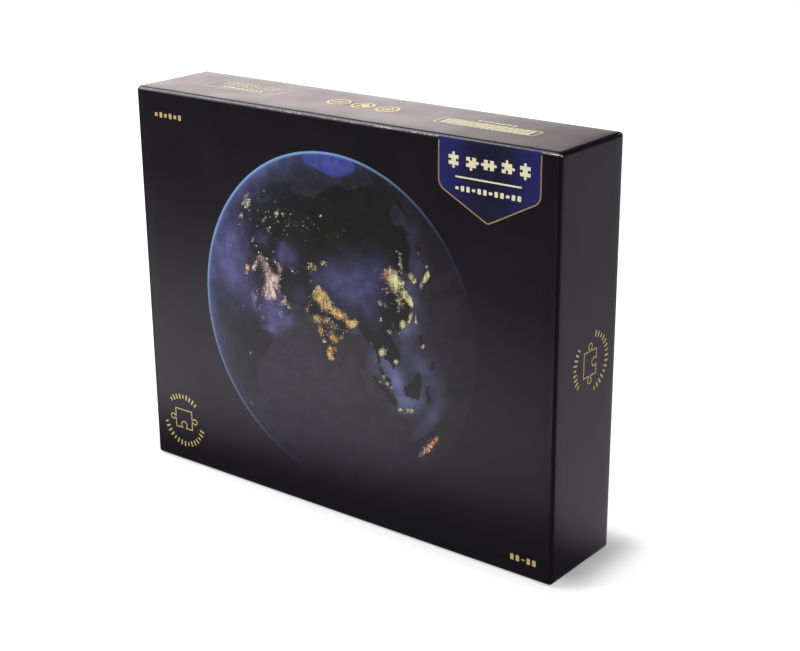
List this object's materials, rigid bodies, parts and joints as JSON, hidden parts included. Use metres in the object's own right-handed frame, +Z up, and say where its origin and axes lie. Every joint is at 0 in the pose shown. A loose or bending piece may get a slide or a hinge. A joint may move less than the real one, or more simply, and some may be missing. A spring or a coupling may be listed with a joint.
{
  "type": "boxed jigsaw puzzle",
  "caption": "Rigid telescoping cardboard box standing on its long edge, with a printed lid over a base that holds bagged jigsaw pieces, a folded poster and a leaflet.",
  "frame": {"origin": "middle of the footprint of the box as it stands on a long edge, on the surface that it stands on", "axes": "+X to the right along the long side as one looks at the picture face, +Y from the picture face to the back, +Z up"},
  "size_m": [0.27, 0.055, 0.215],
  "materials": {
    "lid_print": "satin",
    "base_print": "satin",
    "greyboard": "matte",
    "kraft_tape": "matte",
    "clear_film": "gloss",
    "puzzle_board": "satin",
    "poster_paper": "satin",
    "leaflet_paper": "matte"
  },
  "bodies": {
    "base": {"base_wrap": "base_print", "base_board": "greyboard", "base_corner_stay_lower_left": "kraft_tape", "base_corner_stay_lower_right": "kraft_tape", "base_corner_stay_upper_left": "kraft_tape", "base_corner_stay_upper_right": "kraft_tape"},
    "lid": {"lid_wrap": "lid_print", "lid_board": "greyboard", "lid_corner_stay_lower_left": "kraft_tape", "lid_corner_stay_lower_right": "kraft_tape", "lid_corner_stay_upper_left": "kraft_tape", "lid_corner_stay_upper_right": "kraft_tape"},
    "leaflet": {"leaflet": "leaflet_paper"},
    "poster": {"folded_poster": "poster_paper"},
    "left_bag": {"bag_film_left": "clear_film", "piece_heap_left": "puzzle_board", "jigsaw_piece_left_01": "puzzle_board", "jigsaw_piece_left_02": "puzzle_board", "jigsaw_piece_left_03": "puzzle_board", "jigsaw_piece_left_04": "puzzle_board", "jigsaw_piece_left_05": "puzzle_board", "jigsaw_piece_left_06": "puzzle_board", "jigsaw_piece_left_07": "puzzle_board", "jigsaw_piece_left_08": "puzzle_board", "jigsaw_piece_left_09": "puzzle_board", "jigsaw_piece_left_10": "puzzle_board", "jigsaw_piece_left_11": "puzzle_board", "jigsaw_piece_left_12": "puzzle_board"},
    "right_bag": {"bag_film_right": "clear_film", "piece_heap_right": "puzzle_board", "jigsaw_piece_right_01": "puzzle_board", "jigsaw_piece_right_02": "puzzle_board", "jigsaw_piece_right_03": "puzzle_board", "jigsaw_piece_right_04": "puzzle_board", "jigsaw_piece_right_05": "puzzle_board", "jigsaw_piece_right_06": "puzzle_board", "jigsaw_piece_right_07": "puzzle_board", "jigsaw_piece_right_08": "puzzle_board", "jigsaw_piece_right_09": "puzzle_board", "jigsaw_piece_right_10": "puzzle_board", "jigsaw_piece_right_11": "puzzle_board", "jigsaw_piece_right_12": "puzzle_board"}
  },
  "joints": [
    {"name": "lid_slide", "type": "slide", "parent": "base", "child": "lid", "axis": [0, -1, 0], "range_m": [0, 0.24]},
    {"name": "leaflet_slide", "type": "slide", "parent": "base", "child": "leaflet", "axis": [0, -1, 0], "range_m": [0, 0.18]},
    {"name": "poster_slide", "type": "slide", "parent": "base", "child": "poster", "axis": [0, -1, 0], "range_m": [0, 0.132]},
    {"name": "left_bag_slide", "type": "slide", "parent": "base", "child": "left_bag", "axis": [0, -1, 0], "range_m": [0, 0.0672]},
    {"name": "right_bag_slide", "type": "slide", "parent": "base", "child": "right_bag", "axis": [0, -1, 0], "range_m": [0, 0.0672]}
  ],
  "couplings": [
    {"joint": "leaflet_slide", "follows": "lid_slide", "ratio": 0.75},
    {"joint": "poster_slide", "follows": "lid_slide", "ratio": 0.55},
    {"joint": "left_bag_slide", "follows": "lid_slide", "ratio": 0.28},
    {"joint": "right_bag_slide", "follows": "lid_slide", "ratio": 0.28}
  ]
}
